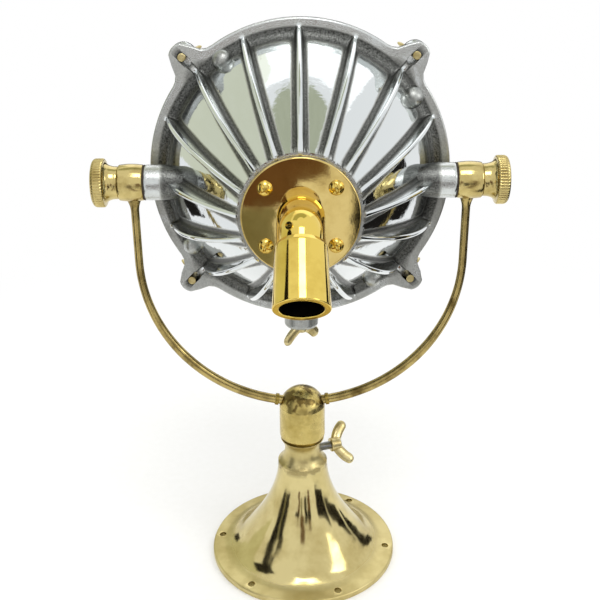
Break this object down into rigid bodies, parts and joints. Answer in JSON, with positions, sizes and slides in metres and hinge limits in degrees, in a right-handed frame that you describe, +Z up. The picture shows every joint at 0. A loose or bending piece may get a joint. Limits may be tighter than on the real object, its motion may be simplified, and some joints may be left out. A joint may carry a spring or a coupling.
{
  "type": "marine searchlight",
  "caption": "Marine searchlight: ribbed cast aluminium head with rear cable elbow, tilting in a brass rod yoke that swivels on a flanged brass trumpet base.",
  "frame": {"origin": "centre of the base's underside, on the swivel axis", "axes": "+Z up along the swivel axis, +X along the tilt axis, the lamp shines towards +Y"},
  "size_m": [0.3088, 0.2619, 0.4496],
  "materials": {
    "cast_brass": "polished",
    "turned_brass": "satin",
    "rod_brass": "aged",
    "polished_brass": "polished",
    "wing_brass": "cast",
    "inner_brass": "satin",
    "cast_aluminium": "polished",
    "steel": "satin",
    "mirror": "mirror",
    "lens": "clear",
    "bulb_glass": "clear",
    "porcelain": "glazed",
    "rubber": "matte"
  },
  "bodies": {
    "base": {"base_pedestal": "cast_brass", "thrust_washer": "wing_brass"},
    "clamp_screw": {"clamp_shank": "steel", "clamp_wing": "wing_brass"},
    "yoke": {"yoke_hub": "turned_brass", "yoke_spindle": "steel", "arm_left": "rod_brass", "arm_right": "rod_brass", "arm_collars": "turned_brass", "bush_left": "turned_brass", "bush_right": "turned_brass"},
    "head": {"rear_housing": "cast_aluminium", "trunnion_washers": "rubber", "outlet_gasket": "rubber", "outlet_flange": "polished_brass", "flange_screws": "polished_brass", "elbow_bend": "polished_brass", "outlet_sleeve": "polished_brass", "elbow_set_screw": "polished_brass", "bezel": "cast_aluminium", "lens_gasket": "rubber", "lens_glass": "lens", "lens_ring": "cast_aluminium", "rim_gasket": "rubber", "reflector": "mirror", "lamp_stem": "inner_brass", "lamp_holder": "porcelain", "bulb_cap": "inner_brass", "bulb": "bulb_glass", "ear_studs": "wing_brass"},
    "tilt_knob_left": {"knob_left": "turned_brass", "stud_left": "steel"},
    "tilt_knob_right": {"knob_right": "turned_brass", "stud_right": "steel"},
    "nut_1": {"wing_nut_1": "wing_brass"},
    "nut_2": {"wing_nut_2": "wing_brass"},
    "nut_3": {"wing_nut_3": "wing_brass"},
    "nut_4": {"wing_nut_4": "wing_brass"},
    "drain_screw": {"drain_shank": "steel", "drain_wing": "wing_brass"}
  },
  "joints": [
    {"name": "swivel", "type": "hinge", "parent": "base", "child": "yoke", "pos_m": [0, 0, 0.112], "axis": [0, 0, 1], "continuous": true},
    {"name": "tilt", "type": "hinge", "parent": "yoke", "child": "head", "pos_m": [0, 0, 0.3363], "axis": [1, 0, 0], "range_deg": [-60, 50]},
    {"name": "clamp_turn", "type": "hinge", "parent": "base", "child": "clamp_screw", "pos_m": [0.02819, 0.01026, 0.0987], "axis": [0.9397, 0.342, 0], "range_deg": [0, 360]},
    {"name": "knob_left_turn", "type": "hinge", "parent": "head", "child": "tilt_knob_left", "pos_m": [-0.14, 0, 0.3363], "axis": [-1, 0, 0], "range_deg": [0, 360]},
    {"name": "knob_right_turn", "type": "hinge", "parent": "head", "child": "tilt_knob_right", "pos_m": [0.14, 0, 0.3363], "axis": [1, 0, 0], "range_deg": [0, 360]},
    {"name": "drain_turn", "type": "hinge", "parent": "head", "child": "drain_screw", "pos_m": [0, 0.0106, 0.2161], "axis": [0, -0.0785, -0.9969], "range_deg": [0, 360]},
    {"name": "nut_1_turn", "type": "hinge", "parent": "head", "child": "nut_1", "pos_m": [0.08768, 0.05533, 0.4199], "axis": [0, 0.9969, -0.0785], "range_deg": [0, 360]},
    {"name": "nut_2_turn", "type": "hinge", "parent": "head", "child": "nut_2", "pos_m": [-0.08768, 0.05533, 0.4199], "axis": [0, 0.9969, -0.0785], "range_deg": [0, 360]},
    {"name": "nut_3_turn", "type": "hinge", "parent": "head", "child": "nut_3", "pos_m": [-0.08768, 0.04157, 0.24508], "axis": [0, 0.9969, -0.0785], "range_deg": [0, 360]},
    {"name": "nut_4_turn", "type": "hinge", "parent": "head", "child": "nut_4", "pos_m": [0.08768, 0.04157, 0.24508], "axis": [0, 0.9969, -0.0785], "range_deg": [0, 360]}
  ]
}
